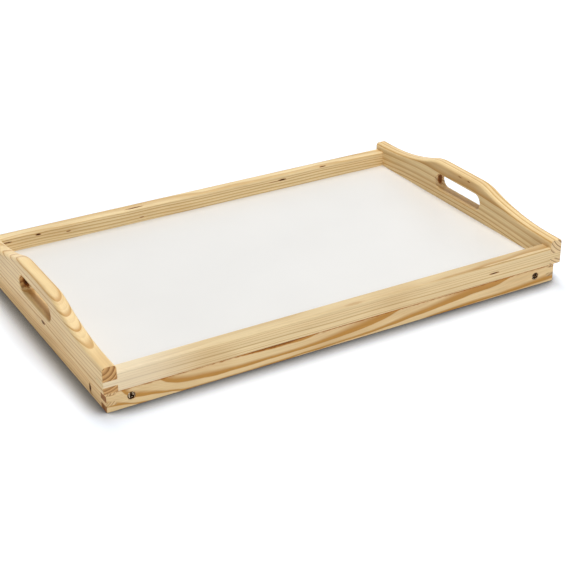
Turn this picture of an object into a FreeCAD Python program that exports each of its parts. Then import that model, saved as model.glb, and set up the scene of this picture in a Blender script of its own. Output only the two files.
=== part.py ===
"""Bed tray table: a finger-jointed pine tray with arched hand-hole ends and two folding legs.

The tray stands on its lower frame, as it does with the legs folded away.
Origin: middle of the plan, at the underside of the lower frame. +X runs to the right end
board, -Y is the front, +Z is up. All sizes are in millimetres.
"""
import FreeCAD, Part
import math
import os

Vector = FreeCAD.Vector

# Tray frame: two arched end boards and two rails, finger-jointed at the corners
tray_length = 520.0           # over the outer faces of the end boards
tray_width = 331.0            # over the outer faces of the rails
end_board_thickness = 14.3
rail_thickness = 15.0
rail_height = 19.4
rail_finger_base = 7.1        # underside of the rail up to its finger
rail_finger_height = 5.9
shoulder_height = 27.6        # end board's height at the corners
crown_rise = 19.0             # the arch's top above the shoulders
crown_flat = 66.0             # straight length along the arch's top
sweep_run = 115.0             # level distance from the crown's flat to the shoulder's flat
crown_radius = 70.0           # outward curve next to the crown
hand_hole_length = 84.0
hand_hole_height = 18.5
hand_hole_base = 13.5         # underside of the end board up to the hand hole
top_round = 4.0               # upper edges of the end boards
hand_hole_round = 1.6
rail_round = 2.2              # upper edges of the rails
arris = 1.0                   # eased corners of the tray frame

# Panel, held in a rebate under the tray frame
panel_thickness = 2.5
rebate_width = 6.0
panel_edge_play = 0.4
panel_top_play = 0.1

# Lower frame: four boards set in from the tray frame, which house the folded legs
lower_height = 22.6
lower_end_inset = 3.7
lower_side_inset = 5.0
lower_end_thickness = 10.0
lower_side_thickness = 11.5
lower_finger_height = 6.8     # each of the two fingers of a long board
lower_socket_height = 3.9     # the space between them, for the end board's finger
lower_round = 1.2             # outer edges of the lower frame

# Folding legs: two arms and a foot rail each
pivot_inset = 24.8            # lower frame's end to the pivot
leg_width = 18.0
arm_thickness = 14.0
foot_thickness = 14.0
foot_gap = 6.0                # between the two folded legs
leg_finger_height = 6.0       # each of the two fingers of a foot rail
head_clearance = 0.3          # arm's end to the panel, when the leg stands upright
head_corner_round = 2.0
leg_arris = 1.2

# Pivots: a countersunk wood screw and a washer in each arm
screw_length = 25.0
screw_head_diameter = 7.6
screw_shank_diameter = 4.0
screw_core_diameter = 3.0     # inside the thread, and the arm's pilot hole
screw_thread_pitch = 1.8
screw_thread_turns = 6
screw_head_sink = 0.4         # head below the board's face
screw_shank_play = 0.08       # radial, in the board's hole
countersink_play = 0.25       # radial, round the head
driver_slot_length = 4.6
driver_slot_width = 1.1
driver_slot_depth = 1.6
pilot_extra_depth = 0.4
washer_diameter = 10.0
washer_thickness = 1.0
washer_bore_play = 0.2        # radial, round the shank
washer_running_gap = 0.3      # washer to the board

# Places worked out from the sizes above
half_length = tray_length / 2
half_width = tray_width / 2
well_half_length = half_length - end_board_thickness
well_half_width = half_width - rail_thickness
tray_base = lower_height
rail_top = tray_base + rail_height
rail_finger_low = tray_base + rail_finger_base
rail_finger_high = rail_finger_low + rail_finger_height
shoulder_top = tray_base + shoulder_height
crown_top = shoulder_top + crown_rise
rebate_top = tray_base + panel_thickness + panel_top_play
lower_half_length = half_length - lower_end_inset
lower_half_width = half_width - lower_side_inset
lower_well_half_length = lower_half_length - lower_end_thickness
lower_well_half_width = lower_half_width - lower_side_thickness
long_board_fingers = [
    (0.0, lower_finger_height),
    (lower_finger_height + lower_socket_height, 2 * lower_finger_height + lower_socket_height),
]
pivot_x = lower_half_length - pivot_inset
pivot_z = lower_height / 2
arm_outer = lower_well_half_width - washer_running_gap - washer_thickness
arm_inner = arm_outer - arm_thickness
leg_low = pivot_z - leg_width / 2
leg_high = pivot_z + leg_width / 2
head_reach = tray_base - pivot_z - head_clearance
foot_outer = foot_gap / 2
foot_inner = foot_outer + foot_thickness
foot_fingers = [
    (leg_low, leg_low + leg_finger_height),
    (leg_high - leg_finger_height, leg_high),
]
screw_top = lower_half_width - screw_head_sink
screw_tip = screw_top - screw_length


def block(x_range, y_range, z_range):
    """Box between two values along each axis, given in any order."""
    low = Vector(min(x_range), min(y_range), min(z_range))
    high = Vector(max(x_range), max(y_range), max(z_range))
    size = high - low
    return Part.makeBox(size.x, size.y, size.z, low)


def ease(shape, radius, wanted):
    """Round the edges whose bounding box passes the test."""
    edges = [edge for edge in shape.Edges if wanted(edge.BoundBox)]
    return shape.makeFillet(radius, edges)


def near(a, b):
    return abs(a - b) < 1e-4


def mirrored_in_x(shape):
    return shape.mirror(Vector(0, 0, 0), Vector(1, 0, 0))


def mirrored_in_y(shape):
    return shape.mirror(Vector(0, 0, 0), Vector(0, 1, 0))


def loop_face(edges):
    return Part.Face(Part.Wire(edges))


# ---------------------------------------------------------------- tray frame

def arch_side(side, x):
    """Shoulder, hollow curve and outward curve of one side of the arch, from the end inwards."""
    turn = 2 * math.atan(crown_rise / sweep_run)
    hollow_radius = sweep_run / math.sin(turn) - crown_radius
    shoulder_start = crown_flat / 2 + sweep_run

    def hollow(angle):
        y = shoulder_start - hollow_radius * math.sin(angle)
        return Vector(x, side * y, shoulder_top + hollow_radius * (1 - math.cos(angle)))

    def outward(angle):
        y = crown_flat / 2 + crown_radius * math.sin(angle)
        return Vector(x, side * y, crown_top - crown_radius * (1 - math.cos(angle)))

    corner = Vector(x, side * half_width, shoulder_top)
    return [
        Part.LineSegment(corner, hollow(0)).toShape(),
        Part.Arc(hollow(0), hollow(turn / 2), hollow(turn)).toShape(),
        Part.Arc(outward(turn), outward(turn / 2), outward(0)).toShape(),
    ]


def arched_blank():
    """The left end board's outline, full thickness, with square edges."""
    x = -half_length
    crown = Part.LineSegment(
        Vector(x, crown_flat / 2, crown_top), Vector(x, -crown_flat / 2, crown_top)
    ).toShape()
    foot_front = Vector(x, -half_width, tray_base)
    foot_rear = Vector(x, half_width, tray_base)
    sides = [
        Part.LineSegment(foot_front, foot_rear).toShape(),
        Part.LineSegment(foot_rear, Vector(x, half_width, shoulder_top)).toShape(),
        Part.LineSegment(foot_front, Vector(x, -half_width, shoulder_top)).toShape(),
    ]
    edges = sides + arch_side(1, x) + [crown] + arch_side(-1, x)
    outline = Part.Wire(Part.__sortEdges__(edges))
    return Part.Face(outline).extrude(Vector(end_board_thickness, 0, 0))


def hand_hole():
    """Long hole with half-round ends, right through the left end board."""
    radius = hand_hole_height / 2
    centre_y = hand_hole_length / 2 - radius
    centre_z = tray_base + hand_hole_base + radius
    through = (-half_length, -well_half_length)
    slot = block(through, (-centre_y, centre_y), (centre_z - radius, centre_z + radius))
    for y in (-centre_y, centre_y):
        start = Vector(-half_length, y, centre_z)
        slot = slot.fuse(Part.makeCylinder(radius, end_board_thickness, start, Vector(1, 0, 0)))
    return slot.removeSplitter()


def left_end_board():
    board = arched_blank()

    def upper_outline(box):
        return box.XLength < 1e-3 and box.ZMin > shoulder_top - 1e-3

    board = ease(board, top_round, upper_outline)
    board = board.cut(hand_hole())
    hole_reach = hand_hole_length / 2 + 1e-3
    hole_low = tray_base + hand_hole_base

    def hole_edge(box):
        inside = box.YMax < hole_reach and box.YMin > -hole_reach
        level = box.ZMin > hole_low - 1e-3 and box.ZMax < hole_low + hand_hole_height + 1e-3
        return inside and level and box.XLength < 1e-3

    board = ease(board, hand_hole_round, hole_edge)
    for side in (-1, 1):
        through = (-half_length, -well_half_length)
        across = (side * well_half_width, side * half_width)
        board = board.cut(block(through, across, (rail_finger_low, rail_finger_high)))
    board = board.cut(panel_rebate())

    def corner_edge(box):
        at_end = near(abs(box.YMin), half_width) and box.YLength < 1e-3
        outer = near(box.XMin, -half_length) and box.XLength < 1e-3
        upper_end = at_end and box.ZMin > rail_finger_high + 1e-3 and not near(box.ZMin, box.ZMax)
        upper_line = at_end and near(box.ZMin, shoulder_top)
        lower_end = at_end and outer and box.ZMax < rail_finger_low + 1e-3
        bottom = near(box.ZMax, tray_base) and (at_end or outer)
        return upper_end or upper_line or lower_end or bottom

    return ease(board, arris, corner_edge)


def front_rail():
    across = (-half_width, -well_half_width)
    rail = block((-well_half_length, well_half_length), across, (tray_base, rail_top))
    rail = ease(rail, rail_round, lambda box: near(box.ZMin, rail_top) and box.XLength > 1)

    def bottom_outer(box):
        return near(box.ZMax, tray_base) and near(box.YMax, -half_width) and box.XLength > 1

    rail = ease(rail, arris, bottom_outer)
    for side in (-1, 1):
        along = (side * well_half_length, side * half_length)
        finger = block(along, across, (rail_finger_low, rail_finger_high))

        def finger_corner(box, end=side * half_length):
            upright = near(box.XMin, end) and near(box.XMax, end) and box.YLength < 1e-3
            return upright and near(box.YMin, -half_width)

        rail = rail.fuse(ease(finger, arris, finger_corner))
    return rail.removeSplitter().cut(panel_rebate())


def panel_rebate():
    """The shallow recess under the tray frame that takes the panel's edges."""
    reach_x = well_half_length + rebate_width
    reach_y = well_half_width + rebate_width
    return block((-reach_x, reach_x), (-reach_y, reach_y), (tray_base, rebate_top))


def tray_panel():
    reach_x = well_half_length + rebate_width - panel_edge_play
    reach_y = well_half_width + rebate_width - panel_edge_play
    levels = (tray_base, tray_base + panel_thickness)
    return block((-reach_x, reach_x), (-reach_y, reach_y), levels)


# --------------------------------------------------------------- lower frame

def front_lower_board():
    across = (-lower_half_width, -lower_well_half_width)
    board = block((-lower_well_half_length, lower_well_half_length), across, (0, lower_height))
    for side in (-1, 1):
        along = (side * lower_well_half_length, side * lower_half_length)
        for levels in long_board_fingers:
            board = board.fuse(block(along, across, levels))
    board = board.removeSplitter()

    def outer_edge(box):
        at_front = near(box.YMin, -lower_half_width) and near(box.YMax, -lower_half_width)
        at_end = near(abs(box.XMin), lower_half_length) and box.XLength < 1e-3
        at_base = near(box.ZMax, 0)
        return (at_front and at_end) or (at_base and (at_front or at_end))

    board = ease(board, lower_round, outer_edge)
    for x in (-pivot_x, pivot_x):
        board = board.cut(pivot_hole(x))
    return board


def pivot_hole(x):
    """Clearance hole and countersink for a pivot screw in the front lower board."""
    shank = screw_shank_diameter / 2 + screw_shank_play
    head = screw_head_diameter / 2 + countersink_play
    mouth = Vector(x, -lower_half_width, pivot_z)
    inwards = Vector(0, 1, 0)
    bore = Part.makeCylinder(shank, lower_side_thickness, mouth, inwards)
    sunk = Part.makeCylinder(head, screw_head_sink, mouth, inwards)
    cone_mouth = Vector(x, -screw_top, pivot_z)
    cone = Part.makeCone(head, shank, head - shank, cone_mouth, inwards)
    return bore.fuse(sunk).fuse(cone)


def left_lower_board():
    across = (-lower_half_length, -lower_well_half_length)
    board = block(across, (-lower_half_width, lower_half_width), (0, lower_height))
    for side in (-1, 1):
        corner = (side * lower_well_half_width, side * lower_half_width)
        for levels in long_board_fingers:
            board = board.cut(block(across, corner, levels))

    def outer_edge(box):
        outer = near(box.XMin, -lower_half_length) and near(box.XMax, -lower_half_length)
        upright = outer and near(abs(box.YMin), lower_half_width) and box.YLength < 1e-3
        bottom = outer and near(box.ZMax, 0)
        return upright or bottom

    return ease(board, lower_round, outer_edge)


# ---------------------------------------------------------------------- legs

def arm_outline(y):
    """Folded left arm seen from the front: foot to the right, head past the pivot.

    The head's upper corner is an arc about the pivot, so that it swings clear of the panel.
    Its lower corner stays square enough to come up flat under the panel as a stop.
    """
    half = leg_width / 2
    foot = -foot_outer
    shoulder = math.sqrt(head_reach ** 2 - half ** 2)
    middle = math.radians(180) - 0.5 * math.asin(half / head_reach)
    r = head_corner_round
    slant = r * (1 - math.sqrt(0.5))

    def place(x, z):
        return Vector(-pivot_x + x, y, pivot_z + z)

    arc_mid = place(head_reach * math.cos(middle), head_reach * math.sin(middle))
    head_low = place(-head_reach, -half + r)
    corner_mid = place(-head_reach + slant, -half + slant)
    foot_high = Vector(foot, y, leg_high)
    foot_low = Vector(foot, y, leg_low)
    return loop_face([
        Part.LineSegment(foot_high, place(-shoulder, half)).toShape(),
        Part.Arc(place(-shoulder, half), arc_mid, place(-head_reach, 0)).toShape(),
        Part.LineSegment(place(-head_reach, 0), head_low).toShape(),
        Part.Arc(head_low, corner_mid, place(-head_reach + r, -half)).toShape(),
        Part.LineSegment(place(-head_reach + r, -half), foot_low).toShape(),
        Part.LineSegment(foot_low, foot_high).toShape(),
    ])


def left_front_arm():
    arm = arm_outline(-arm_outer).extrude(Vector(0, arm_thickness, 0))
    for levels in foot_fingers:
        arm = arm.cut(block((-foot_inner, -foot_outer), (-arm_outer, -arm_inner), levels))

    def long_edge(box):
        return box.XLength > foot_inner and box.YLength < 1e-3 and box.ZLength < 1e-3

    arm = ease(arm, leg_arris, long_edge)
    depth = pilot_extra_depth + arm_outer - screw_tip
    mouth = Vector(-pivot_x, -arm_outer, pivot_z)
    pilot = Part.makeCylinder(screw_core_diameter / 2, depth, mouth, Vector(0, 1, 0))
    return arm.cut(pilot)


def left_foot_rail():
    along = (-foot_inner, -foot_outer)
    rail = block(along, (-arm_inner, arm_inner), (leg_low, leg_high))
    for side in (-1, 1):
        for levels in foot_fingers:
            rail = rail.fuse(block(along, (side * arm_inner, side * arm_outer), levels))
    rail = rail.removeSplitter()

    def long_edge(box):
        return box.YLength > arm_inner and box.XLength < 1e-3 and box.ZLength < 1e-3

    return ease(rail, leg_arris, long_edge)


# -------------------------------------------------------------------- pivots

def thread_outline(along, radius_out, radius_core):
    """Saw-tooth points of the thread, from the shank to the last turn."""
    points = []
    for turn in range(screw_thread_turns):
        start = along + turn * screw_thread_pitch
        points.append((start, radius_core))
        points.append((start + screw_thread_pitch / 2, radius_out))
    points.append((along + screw_thread_turns * screw_thread_pitch, radius_core))
    return points


def left_front_screw():
    """Countersunk cross-head wood screw, head towards the front."""
    head = screw_head_diameter / 2
    shank = screw_shank_diameter / 2
    core = screw_core_diameter / 2
    thread_end = screw_length - screw_core_diameter
    thread_start = thread_end - screw_thread_turns * screw_thread_pitch
    points = [(0, 0), (0, head), (head - shank, shank), (thread_start - core / 2, shank)]
    points += thread_outline(thread_start, shank, core)
    points.append((screw_length, 0))
    corners = [Vector(-pivot_x + radius, -screw_top + along, pivot_z) for along, radius in points]
    profile = Part.Face(Part.makePolygon(corners + corners[:1]))
    screw = profile.revolve(Vector(-pivot_x, 0, pivot_z), Vector(0, 1, 0), 360)
    for angle in (45, 135):
        screw = screw.cut(driver_slot(angle))
    return screw


def driver_slot(angle):
    """One bar of the cross recess, turned about the screw's axis."""
    half = driver_slot_length / 2
    width = (-driver_slot_width / 2, driver_slot_width / 2)
    slot = block((-half, half), (0, driver_slot_depth), width)
    slot.rotate(Vector(0, 0, 0), Vector(0, 1, 0), angle)
    slot.translate(Vector(-pivot_x, -screw_top, pivot_z))
    return slot


def left_front_washer():
    face = Vector(-pivot_x, -arm_outer - washer_thickness, pivot_z)
    bore = screw_shank_diameter / 2 + washer_bore_play
    ring = Part.makeCylinder(washer_diameter / 2, washer_thickness, face, Vector(0, 1, 0))
    return ring.cut(Part.makeCylinder(bore, washer_thickness, face, Vector(0, 1, 0)))


# ------------------------------------------------------------------- writing

def all_pieces():
    end_board = left_end_board()
    rail = front_rail()
    lower_board = front_lower_board()
    lower_end = left_lower_board()
    pieces = {
        "left_end_board": end_board,
        "right_end_board": mirrored_in_x(end_board),
        "front_rail": rail,
        "rear_rail": mirrored_in_y(rail),
        "tray_panel": tray_panel(),
        "front_lower_board": lower_board,
        "rear_lower_board": mirrored_in_y(lower_board),
        "left_lower_board": lower_end,
        "right_lower_board": mirrored_in_x(lower_end),
    }
    foot_rail = left_foot_rail()
    pieces["left_leg_foot_rail"] = foot_rail
    pieces["right_leg_foot_rail"] = mirrored_in_x(foot_rail)
    at_pivot = {
        "{}_leg_{}_arm": left_front_arm(),
        "{}_{}_pivot_screw": left_front_screw(),
        "{}_{}_pivot_washer": left_front_washer(),
    }
    for name, shape in at_pivot.items():
        rear = mirrored_in_y(shape)
        pieces[name.format("left", "front")] = shape
        pieces[name.format("left", "rear")] = rear
        pieces[name.format("right", "front")] = mirrored_in_x(shape)
        pieces[name.format("right", "rear")] = mirrored_in_x(rear)
    return pieces


os.makedirs("parts", exist_ok=True)
for piece_name, piece in all_pieces().items():
    solids = piece.Solids
    print(f"{piece_name:26s} solids {len(solids)} valid {piece.isValid()} {piece.Volume:10.1f} mm3")
    solids[0].exportStep(os.path.join("parts", piece_name + ".step"))
print(f"pivots at x {pivot_x:.2f} z {pivot_z:.2f}; leg reach {pivot_x - foot_outer:.2f}")
print(f"overall {tray_length:.1f} x {tray_width:.1f} x {crown_top:.1f}")
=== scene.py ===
"""Bed tray table in lacquered pine: the finish of every piece, on the frame made in CAD.

Lengths inside the wood's grain are in millimetres, everything else is in metres.
The file follows the tray as it is put together: tray frame, panel, lower frame, legs and
pivots, and last the studio that it stands in.
"""
import math

import bpy
from mathutils import Matrix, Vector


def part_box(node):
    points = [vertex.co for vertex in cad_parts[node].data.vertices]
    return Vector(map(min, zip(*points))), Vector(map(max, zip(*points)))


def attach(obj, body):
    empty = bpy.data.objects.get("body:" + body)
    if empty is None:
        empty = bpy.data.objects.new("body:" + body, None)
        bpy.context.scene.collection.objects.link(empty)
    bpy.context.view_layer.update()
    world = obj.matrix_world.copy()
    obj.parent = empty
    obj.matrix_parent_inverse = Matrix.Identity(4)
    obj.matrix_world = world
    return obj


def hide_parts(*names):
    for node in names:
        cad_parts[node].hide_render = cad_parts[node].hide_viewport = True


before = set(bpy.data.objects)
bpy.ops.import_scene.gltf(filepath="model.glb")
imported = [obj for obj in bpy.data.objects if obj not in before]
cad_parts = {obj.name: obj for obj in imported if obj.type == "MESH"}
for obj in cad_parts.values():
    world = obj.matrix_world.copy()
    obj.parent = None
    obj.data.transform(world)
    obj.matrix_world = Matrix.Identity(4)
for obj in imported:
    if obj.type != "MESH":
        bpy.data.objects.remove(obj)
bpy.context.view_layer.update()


# ------------------------------------------------------------------ front rail
# A planed strip of pine, 15 by 19.4 mm, with fine straight grain that turns to paler sapwood
# at the left. One finger at each end is glued into the end boards, and the whole tray has a
# clear satin lacquer.

class NodeSheet:
    """A node tree being drawn up: each call adds one node and hands back its result."""

    def __init__(self, tree):
        self.tree = tree

    def add(self, kind, result=0, settings=None, inputs=None):
        node = self.tree.nodes.new(kind)
        for key, value in (settings or {}).items():
            setattr(node, key, value)
        for key, value in (inputs or {}).items():
            self.give(node.inputs[key], value)
        return node.outputs[result]

    def give(self, socket, value):
        if isinstance(value, bpy.types.NodeSocket):
            self.tree.links.new(value, socket)
        else:
            socket.default_value = value

    def number(self, operation, *values):
        inputs = dict(enumerate(values))
        return self.add("ShaderNodeMath", 0, {"operation": operation}, inputs)

    def vector(self, operation, *values, result=0):
        inputs = dict(enumerate(values))
        return self.add("ShaderNodeVectorMath", result, {"operation": operation}, inputs)

    def point(self, x, y, z):
        return self.add("ShaderNodeCombineXYZ", 0, None, {0: x, 1: y, 2: z})

    def ramp(self, value, low, high, smooth=True):
        """0 below the low value, 1 above the high one."""
        shape = "SMOOTHSTEP" if smooth else "LINEAR"
        inputs = {"Value": value, "From Min": low, "From Max": high}
        return self.add("ShaderNodeMapRange", 0, {"interpolation_type": shape}, inputs)

    def spread(self, value, low, high):
        """A 0 to 1 value stretched to lie between two others."""
        inputs = {"Value": value, "To Min": low, "To Max": high}
        return self.add("ShaderNodeMapRange", 0, {"clamp": False}, inputs)

    def mix(self, share, one, other):
        settings = {"data_type": "RGBA", "clamp_factor": True}
        return self.add("ShaderNodeMix", 2, settings, {0: share, 6: one, 7: other})

    def noise(self, where, scale=1.0, detail=2.0, rough=0.5, result=0):
        inputs = {"Vector": where, "Scale": scale, "Detail": detail, "Roughness": rough}
        return self.add("ShaderNodeTexNoise", result, None, inputs)


def colour(red, green, blue):
    """A colour given as it looks on a screen, 0 to 255, turned into scene light."""
    def linear(level):
        share = level / 255
        return share / 12.92 if share < 0.04045 else ((share + 0.055) / 1.055) ** 2.4
    return (linear(red), linear(green), linear(blue), 1.0)


class Finish(NodeSheet):
    """The node tree of a material, with its shader."""

    def __init__(self, name):
        self.material = bpy.data.materials.new(name)
        self.material.use_nodes = True
        super().__init__(self.material.node_tree)
        self.shader = self.tree.nodes["Principled BSDF"]

    def set(self, name, value):
        self.give(self.shader.inputs[name], value)

    def bump(self, height, depth):
        """Relief of that depth in metres, from a 0 to 1 height."""
        inputs = {"Height": height, "Distance": depth, "Strength": 1.0}
        self.set("Normal", self.add("ShaderNodeBump", 0, None, inputs))


def log_place(finish, along):
    """Object coordinates in millimetres, turned so that X runs along the board."""
    mm_per_metre = 1000
    turn = -math.pi / 2 if along == "Y" else 0.0
    where = finish.add("ShaderNodeTexCoord", "Object")
    inputs = {"Vector": where, "Rotation": (0, 0, turn), "Scale": (mm_per_metre,) * 3}
    return finish.add("ShaderNodeMapping", 0, None, inputs)


def log_rings(finish, place, pith, ring, lean, bow, wave, seed, push):
    """How many growth rings lie between the log's pith and each point of the board.

    The pith leans by a share of the length and bows down by a share of its square. Wave is how
    far the rings wander off, over lengths that differ along the board and across it.
    """
    wave_length = 95
    wave_width = 38
    per_wave = (1 / wave_length, 1 / wave_width, 1 / wave_width)
    own_part_of_noise = (seed * 7.3, seed * 3.1, seed * 5.9)
    stretched = finish.vector("MULTIPLY", place, per_wave)
    shifted = finish.vector("ADD", stretched, own_part_of_noise)
    drift = finish.noise(shifted, 1.0, 1.5, 0.4, result=1)
    noise_middle = (0.5, 0.5, 0.5)
    drift = finish.vector("SUBTRACT", drift, noise_middle)
    drift = finish.vector("MULTIPLY", drift, (0.0, wave, wave))
    run = finish.add("ShaderNodeSeparateXYZ", 0, None, {0: place})
    bend = finish.number("MULTIPLY", finish.number("MULTIPLY", run, run), bow)
    slant = finish.point(0.0, finish.number("MULTIPLY", run, lean[0]),
                         finish.number("MULTIPLY_ADD", run, lean[1], bend))
    centred = finish.vector("SUBTRACT", place, (0.0, pith[0], pith[1]))
    moved = finish.vector("ADD", finish.vector("ADD", centred, drift), slant)
    section = finish.vector("MULTIPLY", moved, (0.0, 1.0, 1.0))
    radius = finish.vector("LENGTH", section, result=1)
    if push is not None:
        radius = finish.number("ADD", radius, push)
    return finish.number("DIVIDE", radius, ring)


def late_wood(finish, rings, seed, latest, uneven):
    """Dark late wood at the end of each year's growth: soft on its inner side, sharp outside.

    Latest is about the share of late wood in a year, and uneven is how much paler a poor year
    can be. Faint false rings run in between.
    """
    first_year = seed * 11.0
    years_wander = 1.1
    count = finish.number("ADD", rings, first_year)
    wander = finish.add("ShaderNodeTexNoise", 0, {"noise_dimensions": "1D"},
                        {"W": count, "Scale": 0.45, "Detail": 1.0})
    count = finish.number("ADD", count, finish.number("MULTIPLY", wander, years_wander))
    share = finish.number("FRACT", count)
    year = finish.number("FLOOR", count)
    soft_start = 1 - 1.6 * latest
    rise = finish.ramp(share, soft_start, 0.96)
    fall = finish.ramp(share, 1.0, 0.95)
    band = finish.number("MULTIPLY", rise, fall)
    luck = finish.add("ShaderNodeTexWhiteNoise", 0, {"noise_dimensions": "1D"}, {"W": year})
    strength = finish.spread(luck, 1 - uneven, 1.0)
    band = finish.number("MULTIPLY", band, strength)

    false_rings_per_year = 2.6
    false_strength = 0.17
    false_ring = finish.number("MULTIPLY", count, false_rings_per_year)
    false_ring = finish.ramp(finish.number("FRACT", false_ring), 0.35, 0.95)
    return finish.number("MAXIMUM", band, finish.number("MULTIPLY", false_ring, false_strength))


def knot_and_shade_field(finish, place, marks):
    """Darkness of the knot and pitch streak marks and of the painted shades, and how far the marks
    push the rings aside.

    Each mark is (centre, half sizes, darkness, push), in millimetres, X along the board. The
    reach is 1 about at the mark's edge, which is soft and ragged, and the push ends further out.
    """
    dark = None
    push = None
    ragged_depth = 0.9
    dark_inside, dark_outside = 0.95, 1.75
    push_inside, push_outside = 0.4, 5.0
    ragged = finish.noise(finish.vector("MULTIPLY", place, (0.25, 0.9, 0.9)), 1.0, 2.0)
    for centre, half_sizes, depth, shift in marks:
        offset = finish.vector("SUBTRACT", place, centre)
        spread = finish.vector("DIVIDE", offset, half_sizes)
        reach = finish.vector("LENGTH", spread, result=1)
        reach = finish.number("ADD", reach, finish.number("MULTIPLY", ragged, ragged_depth))
        spot = finish.number("MULTIPLY", finish.ramp(reach, dark_outside, dark_inside), depth)
        dark = spot if dark is None else finish.number("MAXIMUM", dark, spot)
        far = finish.number("MULTIPLY", finish.ramp(reach, push_outside, push_inside), shift)
        push = far if push is None else finish.number("ADD", push, far)
    return dark, push


def end_grain_share(finish, along):
    """1 where the surface cuts across the fibres, 0 where it lies along them."""
    facing = finish.add("ShaderNodeTexCoord", "Normal")
    axis = (0.0, 1.0, 0.0) if along == "Y" else (1.0, 0.0, 0.0)
    dot = finish.vector("DOT_PRODUCT", facing, axis, result=1)
    return finish.ramp(finish.number("ABSOLUTE", dot), 0.45, 0.85)


PINE = {
    "early": colour(236, 210, 162), "late": colour(190, 144, 82),
    "end_early": colour(196, 152, 98), "end_late": colour(128, 80, 40),
}
# The two dark colours below darken the knots and also the painted shades among the marks.
KNOT_AND_SHADE = colour(66, 30, 2)
KNOT_AND_SHADE_RIM = colour(160, 100, 40)
SAPWOOD = colour(252, 242, 218)


def pine(name, along, pith=None, ring=3.0, lean=(0.0, 0.0), bow=0.0, wave=5.0, seed=0,
         latest=0.4, uneven=0.5, tones=PINE, marks=(), grain=None, ends=None, pale=None):
    """Lacquered pine cut out of one log: the same rings show on all faces of the board.

    Pith is where the middle of the log lies across the board, and ring is a year's growth. A
    board with an odd figure brings its own grain in their place. Ends is the pith, ring and
    latest seen on its end grain, where they differ. Pale is the two places along the board
    between which it turns to whiter sapwood.
    """
    finish = Finish(name)
    place = log_place(finish, along)
    knot_and_shade_dark, push = knot_and_shade_field(finish, place, marks)
    if grain is None:
        rings = log_rings(finish, place, pith, ring, lean, bow, wave, seed, push)
        band = late_wood(finish, rings, seed, latest, uneven)
    else:
        band = grain(finish, place)
    end_band = band
    if ends is not None:
        end_pith, end_ring, end_latest = ends
        end_rings = log_rings(finish, place, end_pith, end_ring, lean=(0.0, 0.0), bow=0.0,
                              wave=2.0, seed=seed, push=push)
        end_band = late_wood(finish, end_rings, seed, end_latest, uneven=0.3)
    across = end_grain_share(finish, along)

    # Fine fibres, wider streaks, clouds as long as a hand and short resin canals, all drawn
    # out along the board. The scales are per millimetre.
    fibre_place = finish.vector("MULTIPLY", place, (0.03, 2.2, 2.2))
    fibre = finish.noise(fibre_place, 1.0, 4.0, 0.65)
    streak_place = finish.vector("MULTIPLY", place, (0.008, 0.5, 0.5))
    streak = finish.noise(finish.vector("ADD", streak_place, (0, seed, seed)), 1.0, 2.0)
    cloud_place = finish.vector("MULTIPLY", place, (0.012, 0.05, 0.05))
    cloud = finish.noise(finish.vector("ADD", cloud_place, (seed, 0, 0)), 1.0, 2.0)
    cell_place = finish.vector("MULTIPLY", place, (0.06, 1.1, 1.1))
    cell = finish.add("ShaderNodeTexVoronoi", "Distance", None, {"Vector": cell_place})
    canal = finish.ramp(cell, 0.17, 0.06)
    canal = finish.number("MULTIPLY", canal, finish.ramp(streak, 0.45, 0.62))

    # The rings' colour, warmer in the clouds, and darker where the fibres are cut across.
    cloud_strength = 0.25
    long_colour = finish.mix(band, tones["early"], tones["late"])
    warm = finish.mix(finish.ramp(cloud, 0.35, 0.75), long_colour, tones["late"])
    long_colour = finish.mix(cloud_strength, long_colour, warm)
    if pale is not None:
        pale_start, pale_full = pale
        pale_strength = 0.4
        run = finish.add("ShaderNodeSeparateXYZ", 0, None, {0: place})
        whiter = finish.ramp(run, pale_start, pale_full)
        whiter = finish.number("MULTIPLY", whiter, pale_strength)
        long_colour = finish.mix(whiter, long_colour, SAPWOOD)
    end_colour = finish.mix(end_band, tones["end_early"], tones["end_late"])
    shade = finish.mix(across, long_colour, end_colour)

    # Each texture lightens and darkens the wood a little round 1.
    level = finish.spread(fibre, 0.84, 1.14)
    level = finish.number("MULTIPLY", level, finish.spread(streak, 0.88, 1.12))
    level = finish.number("MULTIPLY", level, finish.spread(canal, 1.0, 0.8))
    shade = finish.vector("SCALE", shade)
    finish.give(shade.node.inputs["Scale"], level)

    # Late wood is shinier than early wood; end grain, knot marks and painted shades are duller.
    open_grain = finish.number("SUBTRACT", fibre, finish.number("MULTIPLY", band, 0.3))
    rough = finish.spread(open_grain, 0.34, 0.52)
    rough = finish.number("ADD", rough, finish.number("MULTIPLY", across, 0.16))
    # The marks darken the wood here: knots, pitch streaks and painted shades alike.
    if knot_and_shade_dark is not None:
        shade = finish.mix(finish.ramp(knot_and_shade_dark, 0.0, 0.5), shade, KNOT_AND_SHADE_RIM)
        shade = finish.mix(finish.ramp(knot_and_shade_dark, 0.3, 1.0), shade, KNOT_AND_SHADE)
        rough = finish.number("ADD", rough, finish.number("MULTIPLY", knot_and_shade_dark, 0.35))
    finish.set("Base Color", shade)
    finish.set("Specular IOR Level", 0.14)
    finish.set("Roughness", rough)
    finish.set("Coat Weight", 0.08)
    finish.set("Coat Roughness", 0.22)
    raised_fibre = finish.number("MULTIPLY", fibre, 0.6)
    raised_band = finish.number("MULTIPLY", band, 0.4)
    relief = 0.00006
    finish.bump(finish.number("ADD", raised_fibre, raised_band), relief)
    return finish.material


def dress(node_name, material):
    """Gives a piece from the CAD model its finish."""
    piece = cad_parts[node_name]
    piece.data.materials.clear()
    piece.data.materials.append(material)


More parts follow.
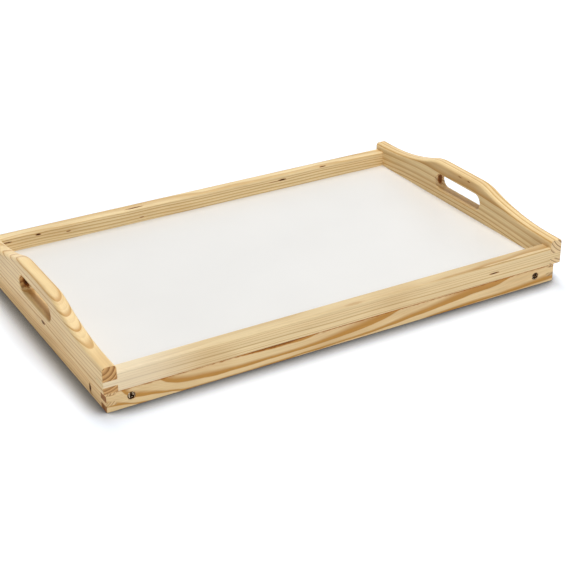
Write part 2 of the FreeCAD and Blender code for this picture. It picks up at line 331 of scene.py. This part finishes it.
# A short dark streak towards the right end, and a faint one along the top edge.
front_rail_marks = [
    ((172.0, -165.5, 32.3), (5.5, 2.0, 0.8), 0.9, 0.5),
    ((4.0, -163.0, 42.0), (12.0, 2.5, 1.0), 0.18, 0.0),
]
front_rail_tones = {
    "early": colour(228, 205, 160), "late": colour(170, 121, 52),
    "end_early": colour(234, 208, 158), "end_late": colour(200, 168, 116),
}
dress("front_rail", pine("pine_front_rail", "X", pith=(-150.0, -36.1), ring=3.3, lean=(0.0, 0.007),
                         wave=2.5, seed=1, latest=0.19, uneven=0.5, tones=front_rail_tones,
                         marks=front_rail_marks, pale=(-150.0, -225.0)))


# ------------------------------------------------------------------- rear rail
# The same strip as the front rail, from another plank, glued into the end boards in the same
# way. Its inner face shows a small oblong knot and a few short pitch streaks.

rear_inner_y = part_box("rear_rail")[0].y * 1000
rear_marks = [
    ((-199.5, rear_inner_y, 38.3), (3.2, 2.0, 1.0), 0.95, 0.6),
    ((-234.5, rear_inner_y, 36.9), (5.0, 1.5, 0.7), 0.85, 0.0),
    ((-165.0, rear_inner_y, 34.1), (2.6, 1.5, 0.7), 0.6, 0.2),
    ((-78.0, rear_inner_y, 30.6), (3.0, 1.5, 0.7), 0.55, 0.2),
    ((104.0, rear_inner_y, 36.7), (5.5, 1.5, 1.0), 1.0, 0.5),
    ((93.0, rear_inner_y, 36.2), (8.0, 1.5, 0.6), 0.35, 0.0),
    ((160.0, rear_inner_y, 41.7), (5.0, 1.5, 0.8), 0.9, 0.4),
    ((-85.0, 154.3, 42.0), (11.0, 1.3, 0.8), 0.75, 0.0),
]
rear_tones = dict(PINE, early=colour(244, 221, 173), late=colour(190, 142, 70))
dress("rear_rail", pine("pine_rear_rail", "X", pith=(138.0, -50.0), ring=3.1, lean=(0.0, 0.01),
                        wave=5.0, seed=2, latest=0.45, tones=rear_tones,
                        marks=rear_marks))


# ------------------------------------------------------------- left end board
# A pine board, 14.3 mm thick, sawn to an arch and rounded over, with a long hand hole, and
# glued round the rails' fingers. Its pith lies just above the arch, so the rings run out on
# the rounded top in nested flames.

left_tones = {
    "early": colour(248, 220, 166), "late": colour(194, 142, 68),
    "end_early": colour(212, 168, 110), "end_late": colour(130, 78, 32),
}
# A small knot low down under the hand hole, a soft streak round it, and painted shade inside
# the hole, at its far end and along its floor.
left_marks = [
    ((-19.5, 260.0, 27.5), (4.6, 2.5, 1.7), 0.85, 1.2),
    ((-8.0, 260.0, 26.0), (14.0, 2.5, 2.0), 0.12, 0.6),
    ((41.0, 253.0, 46.7), (10.0, 3.4, 9.5), 0.9, 0.0),
    ((4.0, 253.0, 36.5), (44.0, 4.0, 3.0), 0.24, 0.0),
]
dress("left_end_board", pine("pine_left_end", "Y", pith=(254.8, 77.0), ring=4.9, lean=(0.004, 0.0),
                             wave=3.0, seed=3, latest=0.3, uneven=0.35, tones=left_tones,
                             marks=left_marks, ends=((261.0, 51.5), 3.9, 0.6)))


# ------------------------------------------------------------ right end board
# The left end board's twin, glued on in the same way, from a plank whose rings slant down to
# the outside and bow along its length.

right_tones = {
    "early": colour(246, 219, 166), "late": colour(190, 138, 64),
    "end_early": colour(228, 200, 154), "end_late": colour(106, 58, 16),
}
# Two short streaks near the crown, and painted shade at the rear end of the hand hole.
right_marks = [
    ((-5.0, -246.0, 65.0), (4.0, 2.0, 0.7), 0.45, 0.0),
    ((-21.0, -246.0, 65.0), (3.0, 2.0, 0.7), 0.55, 0.0),
    ((42.0, -253.0, 46.7), (6.0, 3.3, 9.0), 0.7, 0.0),
]
dress("right_end_board", pine("pine_right_end", "Y", pith=(-273.5, 65.0), ring=4.4, bow=0.0003,
                              wave=3.0, seed=4, latest=0.4, tones=right_tones, marks=right_marks,
                              ends=((-273.5, 65.0), 4.4, 0.3)))


# ----------------------------------------------------------------- tray panel
# A thin hardboard with a white satin film on top, held in a rebate under the frame.
# Its bare brown back shows from below.

def white_board():
    """White film on the top, bare flecked hardboard at the edges and below."""
    finish = Finish("white_board")
    place = log_place(finish, "X")
    height = finish.add("ShaderNodeSeparateXYZ", 2, None, {0: place})
    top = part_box("tray_panel")[1].z * 1000
    film = finish.ramp(height, top - 0.5, top - 0.3, smooth=False)
    fleck = finish.noise(finish.vector("MULTIPLY", place, (1.2, 1.2, 1.2)), 1.0, 5.0, 0.7)
    back = finish.mix(finish.ramp(fleck, 0.35, 0.7), colour(96, 62, 36), colour(140, 98, 60))
    cloud = finish.noise(finish.vector("MULTIPLY", place, (0.01, 0.01, 0.01)), 1.0, 2.0)
    white = finish.mix(cloud, colour(227, 226, 223), colour(235, 234, 231))
    finish.set("Base Color", finish.mix(film, back, white))
    finish.set("Roughness", finish.spread(film, 0.8, 0.38))
    peel = finish.noise(finish.vector("MULTIPLY", place, (0.5, 0.5, 0.5)), 1.0, 3.0, 0.6)
    relief = 0.00003
    finish.bump(peel, relief)
    return finish.material


dress("tray_panel", white_board())


# ---------------------------------------------------------- front lower board
# The long board that the front screws go through, finger-jointed into the lower end boards.
# It is cut flat along the growth rings, so that they run out on its face in long brown
# bowls, one inside the other.

front_face_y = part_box("front_lower_board")[0].y * 1000

# The lower edge of each brown bowl, as (along, height) points, and how steeply the rings dip
# behind the face.
flame_edges = [
    ((-256, 6), (-240, 4), (-222, 0.5), (-150, -4), (50, -4), (120, 0.5), (200, 1.3), (256, 2.6)),
    ((-256, 34), (-241, 18.5), (-237, 13.5), (-228, 8), (-210, 5.5), (-190, 2.5), (-175, 0),
     (-120, -0.6), (-60, 0.9), (0, 1.8), (40, 3), (80, 6), (110, 8), (150, 11.5), (180, 13.3),
     (190, 15.5), (200, 19), (256, 40)),
    ((-256, 60), (-222, 34), (-203, 19), (-193, 12.5), (-180, 9), (-160, 7), (-140, 5.8),
     (-90, 6.3), (-30, 7.0), (10, 8.8), (40, 12.8), (60, 18.2), (100, 27), (150, 44), (256, 60)),
    ((-256, 75), (-160, 32), (-120, 18.5), (-105, 17.4), (-55, 16.3), (-45, 17), (-36, 19),
     (30, 40), (256, 75)),
]
rings_slope = 2.7


def height_line(finish, run, points):
    """The height of a smooth line through (along, height) points, at each place along the run."""
    first, last = points[0][0], points[-1][0]
    low = min(height for along, height in points)
    high = max(height for along, height in points)
    node = finish.tree.nodes.new("ShaderNodeFloatCurve")
    line = node.mapping.curves[0].points
    line[0].location = (0.0, (points[0][1] - low) / (high - low))
    line[1].location = (1.0, (points[-1][1] - low) / (high - low))
    for along, height in points[1:-1]:
        line.new((along - first) / (last - first), (height - low) / (high - low))
    for knob in line:
        knob.handle_type = "AUTO_CLAMPED"
    node.mapping.update()
    finish.give(node.inputs["Value"], finish.ramp(run, first, last, smooth=False))
    return finish.spread(node.outputs[0], low, high)


def flames(finish, place):
    """Late wood above each flame edge, sharp at the edge and fading upwards.

    Rings counts from one edge to the next. It goes on slowly past the first and the last edge.
    """
    ragged_height = 0.7
    past_edges = 0.1
    fine_rings = 5.0
    run = finish.add("ShaderNodeSeparateXYZ", 0, None, {0: place})
    depth = finish.number("SUBTRACT", run.node.outputs[1], front_face_y)
    level = finish.number("MULTIPLY_ADD", depth, rings_slope, run.node.outputs[2])
    ragged = finish.noise(finish.vector("MULTIPLY", place, (0.05, 0.3, 0.3)), 1.0, 3.0)
    level = finish.number("ADD", level, finish.spread(ragged, -ragged_height, ragged_height))
    edges = [height_line(finish, run, points) for points in flame_edges]
    under = finish.number("SUBTRACT", finish.number("MINIMUM", level, edges[0]), edges[0])
    over = finish.number("SUBTRACT", finish.number("MAXIMUM", level, edges[-1]), edges[-1])
    rings = finish.number("MULTIPLY", finish.number("ADD", under, over), past_edges)
    for lower, upper in zip(edges, edges[1:]):
        rings = finish.number("ADD", rings, finish.ramp(level, lower, upper, smooth=False))
    share = finish.number("FRACT", rings)
    # The brown fades out sooner towards both ends of the board.
    taper = finish.spread(finish.ramp(run, 140.0, 230.0), 1.0, 1.7)
    taper = finish.number("MULTIPLY_ADD", finish.ramp(run, -130.0, -185.0), 0.55, taper)
    fade = finish.ramp(finish.number("MULTIPLY", share, taper), 0.49, 0.15)
    band = finish.number("MULTIPLY", fade, finish.ramp(share, 0.0, 0.025))
    fine = finish.number("FRACT", finish.number("MULTIPLY", rings, fine_rings))
    fine = finish.number("MULTIPLY", finish.ramp(fine, 0.3, 0.9), 0.1)
    return finish.number("MAXIMUM", finish.number("MULTIPLY", band, 0.9), fine)


# A brown streak left of the middle, a painted shade line under the rail's overhang, painted shade
# round each screw's countersink, and a short painted shade streak under the overhang at each end.
front_lower_marks = [
    ((-80.0, front_face_y, 19.8), (38.0, 4.0, 2.4), 0.6, 0.0),
    ((0.0, front_face_y, 21.7), (900.0, 6.0, 3.4), 0.42, 0.0),
    ((-231.5, front_face_y, 11.3), (3.9, 3.0, 3.9), 0.6, 0.0),
    ((231.5, front_face_y, 11.3), (3.9, 3.0, 3.9), 0.6, 0.0),
    ((-251.0, front_face_y, 17.6), (4.0, 2.0, 0.7), 0.4, 0.0),
    ((252.0, front_face_y, 17.6), (4.0, 2.0, 0.7), 0.6, 0.0),
]
front_lower_tones = {
    "early": colour(232, 207, 160), "late": colour(184, 130, 50),
    "end_early": colour(172, 116, 62), "end_late": colour(108, 62, 26),
}
dress("front_lower_board", pine("pine_front_lower", "X", seed=5, tones=front_lower_tones,
                                marks=front_lower_marks, grain=flames,
                                ends=((-230.0, 50.0), 3.4, 0.5)))


# ----------------------------------------------------------- rear lower board
# The same board at the back, for the rear screws, sawn and finger-jointed in the same way,
# from a plainer plank.

dress("rear_lower_board", pine("pine_rear_lower", "X", pith=(90.0, 60.0), ring=3.2,
                               lean=(0.0, 0.02), wave=6.0, seed=6))


# ---------------------------------------------------------- lower end boards
# Short straight boards that close the lower frame, finger-jointed into the long ones.
# The left one has a pin knot near the front and a brown patch under the tray's edge.

# The brown patch, then the knot and the shade below it.
left_lower_marks = [
    ((-8.5, 256.3, 21.5), (7.0, 3.0, 1.5), 0.55, 0.0),
    ((-123.5, 256.3, 8.5), (2.3, 3.0, 4.2), 1.0, 0.8),
    ((-124.5, 256.3, 3.0), (5.0, 3.0, 1.2), 0.3, 0.0),
]
left_lower_tones = {
    "early": colour(250, 219, 166), "late": colour(214, 166, 100),
    "end_early": colour(226, 198, 150), "end_late": colour(156, 110, 62),
}
right_lower_tones = dict(PINE, end_early=colour(216, 186, 138), end_late=colour(112, 70, 34))
dress("left_lower_board", pine("pine_left_lower", "Y", pith=(205.0, -60.0), ring=2.8,
                               lean=(0.01, 0.02), wave=6.0, seed=7, tones=left_lower_tones,
                               marks=left_lower_marks,
                               ends=((270.0, 30.0), 2.4, 0.5)))
dress("right_lower_board", pine("pine_right_lower", "Y", pith=(-180.0, -50.0), ring=3.0,
                                lean=(0.01, 0.01), wave=5.0, seed=8, tones=right_lower_tones,
                                ends=((-240.0, 35.0), 2.4, 0.5)))


# ------------------------------------------------------------------------ legs
# Each leg is a U of two arms and a foot rail, planed pine of 18 by 14 mm with glued finger
# joints at the corners. It hangs on two screws and folds flat into the lower frame. Every
# stick comes from another part of the log.

for number, side in enumerate(("left", "right")):
    for row, arm in enumerate(("front_arm", "rear_arm")):
        arm_pith = (60.0 + 25 * row, -40.0 + 30 * number)
        arm_seed = 9 + 2 * number + row
        material = pine("pine_{}_{}".format(side, arm), "X", pith=arm_pith, ring=3.0,
                        lean=(0.0, 0.015), wave=5.0, seed=arm_seed)
        dress("{}_leg_{}".format(side, arm), material)
    foot_seed = 13 + number
    material = pine("pine_{}_foot".format(side), "Y", pith=(70.0, 40.0), ring=3.2,
                    lean=(0.01, 0.0), wave=5.0, seed=foot_seed)
    dress("{}_leg_foot_rail".format(side), material)


# ---------------------------------------------------------------- pivot screws
# Countersunk cross-head wood screws of dull plated steel, two to each leg. They turn in the
# long lower boards and are driven into the arms, so they move with the legs.

class PartSheet(NodeSheet):
    """A geometry node tree with named sizes, which makes a small part and sets it in place."""

    def __init__(self, name, sizes):
        super().__init__(bpy.data.node_groups.new(name, "GeometryNodeTree"))
        sockets = self.tree.interface
        sockets.new_socket(name="Part", in_out="OUTPUT", socket_type="NodeSocketGeometry")
        self.values = {}
        for key, value in sizes.items():
            kind = "NodeSocketInt" if isinstance(value, int) else "NodeSocketFloat"
            socket = sockets.new_socket(name=key, in_out="INPUT", socket_type=kind)
            self.values[socket.identifier] = value
        self.size = self.tree.nodes.new("NodeGroupInput").outputs

    def lathe(self, low, high, low_radius, high_radius, sides):
        """A closed round blank between two heights along Z."""
        depth = self.number("SUBTRACT", high, low)
        blank = self.add("GeometryNodeMeshCone", 0, None, {
            "Vertices": sides, "Radius Top": high_radius, "Radius Bottom": low_radius,
            "Depth": depth})
        return self.shift(blank, self.point(0.0, 0.0, low))

    def shift(self, mesh, move, turn=(0.0, 0.0, 0.0)):
        return self.add("GeometryNodeTransform", 0, None,
                        {"Geometry": mesh, "Translation": move, "Rotation": turn})

    def cut(self, operation, first, others):
        cutter = self.tree.nodes.new("GeometryNodeMeshBoolean")
        cutter.operation = operation
        cutter.solver = "EXACT"
        if first is not None:
            self.give(cutter.inputs["Mesh 1"], first)
        for other in others:
            self.tree.links.new(other, cutter.inputs["Mesh 2"])
        return cutter.outputs[0]

    def facing_pair(self, part, material):
        """One copy at the front and one at the rear, both pointing inwards, as plain mesh."""
        size = self.size
        crease = math.radians(28)
        front_y = self.number("MULTIPLY", size["Pivot Y"], -1.0)
        row = self.add("GeometryNodeMeshLine", 0, {"mode": "END_POINTS"}, {
            "Count": 2,
            "Start Location": self.point(size["Pivot X"], front_y, size["Pivot Z"]),
            "Offset": self.point(size["Pivot X"], size["Pivot Y"], size["Pivot Z"])})
        index = self.add("GeometryNodeInputIndex")
        tip = self.number("MULTIPLY", self.number("SUBTRACT", index, 0.5), math.pi)
        spin = self.add("FunctionNodeRandomValue", 1, {"data_type": "FLOAT"},
                        {2: 0.0, 3: math.pi, "Seed": size["Seed"]})
        smooth = self.add("GeometryNodeSetShadeSmooth", 0, None, {"Geometry": part})
        angle = self.add("GeometryNodeInputMeshEdgeAngle")
        crisp = self.add("GeometryNodeSetShadeSmooth", 0, {"domain": "EDGE"}, {
            "Geometry": smooth, "Selection": self.number("GREATER_THAN", angle, crease),
            "Shade Smooth": False})
        pair = self.add("GeometryNodeInstanceOnPoints", 0, None, {
            "Points": row, "Instance": crisp, "Rotation": self.point(tip, spin, 0.0)})
        solid = self.add("GeometryNodeRealizeInstances", 0, None, {"Geometry": pair})
        done = self.add("GeometryNodeSetMaterial", 0, None,
                        {"Geometry": solid, "Material": material})
        self.tree.links.new(done, self.tree.nodes.new("NodeGroupOutput").inputs["Part"])

    def made(self, name):
        """The finished parts as one plain mesh, with the modifier gone."""
        seed_mesh = bpy.data.meshes.new(name + "_seed")
        maker = bpy.data.objects.new(name + "_maker", seed_mesh)
        bpy.context.scene.collection.objects.link(maker)
        modifier = maker.modifiers.new("parts", "NODES")
        modifier.node_group = self.tree
        for identifier, value in self.values.items():
            modifier[identifier] = value
        shaped = maker.evaluated_get(bpy.context.evaluated_depsgraph_get())
        mesh = bpy.data.meshes.new_from_object(shaped)
        bpy.data.objects.remove(maker)
        piece = bpy.data.objects.new(name, mesh)
        bpy.context.scene.collection.objects.link(piece)
        return piece


def plated(name, tone, dark_tone, rough):
    """Plated steel in a dark tone, with bright patches that are painted glints."""
    finish = Finish(name)
    place = log_place(finish, "X")
    glint_patches = finish.noise(finish.vector("MULTIPLY", place, (0.55, 0.55, 0.55)), 1.0, 3.0)
    scratch = finish.noise(finish.vector("MULTIPLY", place, (9.0, 1.5, 0.8)), 1.0, 3.0, 0.7)
    # The bright patches are painted glints on the dark tone.
    finish.set("Base Color", finish.mix(finish.ramp(glint_patches, 0.63, 0.57), tone, dark_tone))
    finish.set("Metallic", 1.0)
    finish.set("Roughness", finish.spread(scratch, rough - 0.1, rough + 0.12))
    relief = 0.00002
    finish.bump(scratch, relief)
    return finish.material


def wood_screw(side, material):
    """Two screws as big as their CAD solids, turned as overlapping blanks joined to one skin.

    Each has a countersunk head with a cross recess, a shank, a thinner threaded core and a point.
    """
    low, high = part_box(side + "_front_pivot_screw")
    sheet = PartSheet("wood_screw_" + side, {
        "Head Radius": (high.x - low.x) / 2, "Shank Radius": 0.002, "Core Radius": 0.0015,
        "Length": high.y - low.y, "Rim": 0.0003, "Recess": 0.0023, "Slot Width": 0.00095,
        "Slot Depth": 0.0017, "Pitch": 0.0018, "Turns": 6, "Sides": 48, "Seed": 4,
        "Pivot X": (low.x + high.x) / 2, "Pivot Y": -low.y, "Pivot Z": (low.z + high.z) / 2})
    tip_radius = 0.0001
    ridge_radius = 0.00048
    recess_mouth = 0.0014
    recess_floor = 0.0006
    overlap = 0.0002
    small_sides = 24
    size = sheet.size
    head = size["Head Radius"]
    shank = size["Shank Radius"]
    core = size["Core Radius"]
    length = size["Length"]
    run = sheet.number("MULTIPLY", size["Pitch"], size["Turns"])
    neck = sheet.number("ADD", size["Rim"], sheet.number("SUBTRACT", head, shank))
    point_start = sheet.number("SUBTRACT", length, sheet.number("MULTIPLY", core, 2.0))
    thread_start = sheet.number("SUBTRACT", point_start, run)
    head_low = sheet.number("SUBTRACT", size["Rim"], overlap / 2)
    rounds = [
        sheet.lathe(0.0, size["Rim"], head, head, size["Sides"]),
        sheet.lathe(head_low, neck, head, shank, size["Sides"]),
    ]
    shank_low = sheet.number("SUBTRACT", neck, overlap)
    rounds.append(sheet.lathe(shank_low, thread_start, shank, shank, size["Sides"]))
    core_low = sheet.number("SUBTRACT", thread_start, overlap)
    rounds.append(sheet.lathe(core_low, point_start, core, core, small_sides))
    point_low = sheet.number("SUBTRACT", point_start, overlap)
    rounds.append(sheet.lathe(point_low, length, core, tip_radius, small_sides))
    spiral = sheet.add("GeometryNodeCurveSpiral", 0, None, {
        "Resolution": 24, "Rotations": size["Turns"], "Start Radius": core,
        "End Radius": core, "Height": run})
    ridge = sheet.add("GeometryNodeCurvePrimitiveCircle", 0, None,
                      {"Resolution": 3, "Radius": ridge_radius})
    thread = sheet.add("GeometryNodeCurveToMesh", 0, None,
                       {"Curve": spiral, "Profile Curve": ridge, "Fill Caps": True})
    rounds.append(sheet.shift(thread, sheet.point(0.0, 0.0, thread_start)))
    body = sheet.cut("UNION", None, rounds)
    bars = []
    for quarter in (0, 1):
        bar_length = sheet.number("MULTIPLY", size["Recess"], 2.0)
        bar_height = sheet.number("MULTIPLY", size["Slot Depth"], 2.0)
        bar_size = sheet.point(bar_length, size["Slot Width"], bar_height)
        bar = sheet.add("GeometryNodeMeshCube", 0, None, {"Size": bar_size})
        bars.append(sheet.shift(bar, (0.0, 0.0, 0.0), (0.0, 0.0, quarter * math.pi / 2)))
    bars.append(sheet.lathe(-overlap / 2, size["Slot Depth"], recess_mouth, recess_floor,
                            small_sides))
    sheet.facing_pair(sheet.cut("DIFFERENCE", body, bars), material)
    return sheet.made(side + "_pivot_screws")


# The screws are dark steel with small painted glints.
screw_steel = plated("screw_steel", colour(228, 206, 174), colour(64, 42, 22), 0.24)
for side in ("left", "right"):
    screws = wood_screw(side, screw_steel)
    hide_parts(side + "_front_pivot_screw", side + "_rear_pivot_screw")
    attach(screws, side + "_leg")


# -------------------------------------------------------------- pivot washers
# Pressed steel washers, 10 mm across and 1 mm thick, with rounded edges. One sits on each
# screw, between the arm and the long lower board that it turns against.

def washers(side, material):
    """Two washers as big as their CAD solids, swept round from a rounded section."""
    low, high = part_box(side + "_front_pivot_washer")
    outer = (high.x - low.x) / 2
    bore = 0.0022
    sheet = PartSheet("washer_" + side, {
        "Middle Radius": (outer + bore) / 2, "Width": outer - bore, "Thickness": high.y - low.y,
        "Corner": 0.0002, "Seed": 1,
        "Pivot X": (low.x + high.x) / 2, "Pivot Y": -(low.y + high.y) / 2,
        "Pivot Z": (low.z + high.z) / 2})
    size = sheet.size
    ring = sheet.add("GeometryNodeCurvePrimitiveCircle", 0, None,
                     {"Resolution": 48, "Radius": size["Middle Radius"]})
    section = sheet.add("GeometryNodeCurvePrimitiveQuadrilateral", 0, None,
                        {"Width": size["Width"], "Height": size["Thickness"]})
    rounded = sheet.add("GeometryNodeFilletCurve", 0, {"mode": "POLY"},
                        {"Curve": section, "Count": 2, "Radius": size["Corner"]})
    disc = sheet.add("GeometryNodeCurveToMesh", 0, None,
                     {"Curve": ring, "Profile Curve": rounded})
    sheet.facing_pair(disc, material)
    return sheet.made(side + "_pivot_washers")


# The washers get the same painted glints, on paler steel.
washer_steel = plated("washer_steel", colour(178, 174, 164), colour(130, 120, 104), 0.32)
for side in ("left", "right"):
    pair = washers(side, washer_steel)
    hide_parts(side + "_front_pivot_washer", side + "_rear_pivot_washer")
    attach(pair, side + "_leg")


# --------------------------------------------------------------------- studio
# A white table under one long softbox that hangs a little to the right of the tray. A weaker
# one stands in front and a pale room lights the rest. The camera stands at the photograph's
# place, worked out from the tray's edges in it.

camera_place = (-0.622625, -1.124202, 0.652335)
camera_heading = math.radians(-30.093)
camera_tilt = math.radians(90 - 27.541)
camera_roll = math.radians(-0.332)
camera = bpy.data.objects.new("camera", bpy.data.cameras.new("camera"))
camera.data.lens = 82.93
camera.data.sensor_width = 36.0
turn = (Matrix.Rotation(camera_heading, 4, "Z")
        @ Matrix.Rotation(camera_tilt, 4, "X")
        @ Matrix.Rotation(camera_roll, 4, "Z"))
camera.matrix_world = Matrix.Translation(camera_place) @ turn
bpy.context.scene.collection.objects.link(camera)
bpy.context.scene.camera = camera

floor_mesh = bpy.data.meshes.new("floor")
reach = 8.0
corners = [(-reach, -reach, 0), (reach, -reach, 0), (reach, reach, 0), (-reach, reach, 0)]
floor_mesh.from_pydata(corners, [], [(0, 1, 2, 3)])
floor = bpy.data.objects.new("floor", floor_mesh)
bpy.context.scene.collection.objects.link(floor)
floor_finish = Finish("floor")


def looked_at(sheet):
    """1 for what the camera sees, straight or in a reflection, 0 for what lights the tray."""
    path = sheet.add("ShaderNodeLightPath")
    rays = path.node.outputs
    seen = sheet.number("MAXIMUM", rays["Is Camera Ray"], rays["Is Glossy Ray"])
    return sheet.number("MAXIMUM", seen, rays["Is Transmission Ray"])


# The table's colour is darkened into a painted shadow where the tray shelters it, and its glow
# takes it to plain white further out, past the softboxes' light. What it throws back on the tray
# is a plain pale grey, with a glow of its own that adds light from below.
shadow_reach = 0.035
shadow_tone = (0.066, 0.077, 0.091, 1)
table_tone = (0.965, 1.03, 1.12, 1)
bounce_tone = (0.9, 0.9, 0.9, 1)
bounce_glow = 0.3
white = (1, 1, 1, 1)
seen = looked_at(floor_finish)
# The ambient occlusion below paints the shadow into the table's colour.
shelter = floor_finish.add("ShaderNodeAmbientOcclusion", "AO", {"samples": 12},
                           {"Distance": shadow_reach})
shelter = floor_finish.ramp(shelter, 0.42, 0.74, smooth=False)
table = floor_finish.mix(shelter, shadow_tone, table_tone)
away = floor_finish.add("ShaderNodeTexCoord", "Object")
away = floor_finish.vector("LENGTH", away, result=1)
glow = floor_finish.spread(floor_finish.ramp(away, 0.3, 0.6), 0.05, 0.45)
glow = floor_finish.number("MULTIPLY_ADD", floor_finish.ramp(away, 0.9, 3.5), 0.6, glow)
floor_finish.set("Base Color", floor_finish.mix(seen, bounce_tone, table))
floor_finish.set("Roughness", 0.6)
floor_finish.set("Specular IOR Level", 0.0)
floor_finish.set("Emission Color", white)
floor_finish.set("Emission Strength", floor_finish.spread(seen, bounce_glow, glow))
floor_mesh.materials.append(floor_finish.material)

# Each softbox is (name, place, turn, size, watts). The front one is aimed at the tray.
aimed_at_tray = (math.radians(59), 0.0, math.radians(-5.7))
softboxes = [
    ("overhead", (0.20, 0.1, 2.0), (0.0, 0.0, 0.0), (0.85, 2.8), 38),
    ("front", (-0.2, -2.0, 1.2), aimed_at_tray, (1.6, 0.5), 9),
]
for name, place, turned, size, power in softboxes:
    softbox = bpy.data.lights.new(name, "AREA")
    softbox.shape = "RECTANGLE"
    softbox.size = size[0]
    softbox.size_y = size[1]
    softbox.energy = power
    lamp = bpy.data.objects.new(name, softbox)
    lamp.location = place
    lamp.rotation_euler = turned
    bpy.context.scene.collection.objects.link(lamp)

world = bpy.data.worlds.new("studio")
world.use_nodes = True
bpy.context.scene.world = world
sky = NodeSheet(world.node_tree)
room_light = 0.25
background = world.node_tree.nodes["Background"]
sky.give(background.inputs["Color"], white)
sky.give(background.inputs["Strength"], sky.spread(looked_at(sky), room_light, 1.0))

bpy.context.scene.view_settings.view_transform = "Standard"
